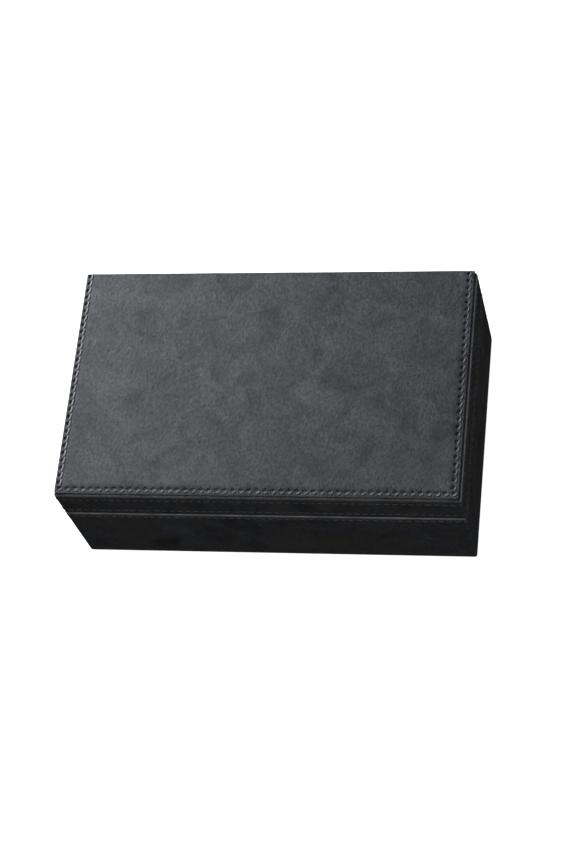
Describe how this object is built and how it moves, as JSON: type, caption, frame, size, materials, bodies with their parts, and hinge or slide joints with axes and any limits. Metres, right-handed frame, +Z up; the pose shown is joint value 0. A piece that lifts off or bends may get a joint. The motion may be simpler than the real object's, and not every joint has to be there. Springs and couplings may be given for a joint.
{
  "type": "card deck box",
  "caption": "Rectangular wrapped card deck box with a hinged, magnet-shut lid, a sewn top panel and half-lapped dividers making compartments for decks stood on end.",
  "frame": {"origin": "middle of the underside of the base", "axes": "+X to the right seen from the front, -Y towards the front, where the lid opens, +Z up"},
  "size_m": [0.2944, 0.1835, 0.1023],
  "materials": {
    "side_leather": "satin",
    "cover_leather": "satin",
    "greyboard": "matte",
    "suede_lining": "matte",
    "thread": "satin",
    "magnet_plating": "satin",
    "foam": "matte"
  },
  "bodies": {
    "base": {"base_bottom_sheet": "side_leather", "base_floor_board": "greyboard", "base_floor_lining": "suede_lining", "base_wrap": "side_leather", "base_rear_cover": "cover_leather", "base_front_board": "greyboard", "base_rear_board": "greyboard", "base_left_board": "greyboard", "base_right_board": "greyboard", "base_front_lining": "suede_lining", "base_rear_lining": "suede_lining", "base_left_lining": "suede_lining", "base_right_lining": "suede_lining", "base_rim_thread": "thread", "base_rear_thread_left": "thread", "base_rear_thread_right": "thread", "base_left_magnet": "magnet_plating", "base_right_magnet": "magnet_plating", "row_divider": "suede_lining", "column_divider_left": "suede_lining", "column_divider_middle": "suede_lining", "column_divider_right": "suede_lining"},
    "lid": {"lid_cover": "cover_leather", "hinge_leather": "cover_leather", "lid_wrap": "side_leather", "lid_foam_pad": "foam", "lid_top_board": "greyboard", "lid_front_board": "greyboard", "lid_rear_board": "greyboard", "lid_left_board": "greyboard", "lid_right_board": "greyboard", "lid_top_lining": "suede_lining", "lid_front_lining": "suede_lining", "lid_rear_lining": "suede_lining", "lid_left_lining": "suede_lining", "lid_right_lining": "suede_lining", "lid_top_thread": "thread", "lid_upper_thread": "thread", "lid_rim_thread": "thread", "lid_left_magnet": "magnet_plating", "lid_right_magnet": "magnet_plating"}
  },
  "joints": [
    {"name": "lid_hinge", "type": "hinge", "parent": "base", "child": "lid", "pos_m": [0, 0.0909, 0.0719], "axis": [-1, 0, 0], "range_deg": [0, 150], "deforming": ["hinge_leather"]}
  ]
}
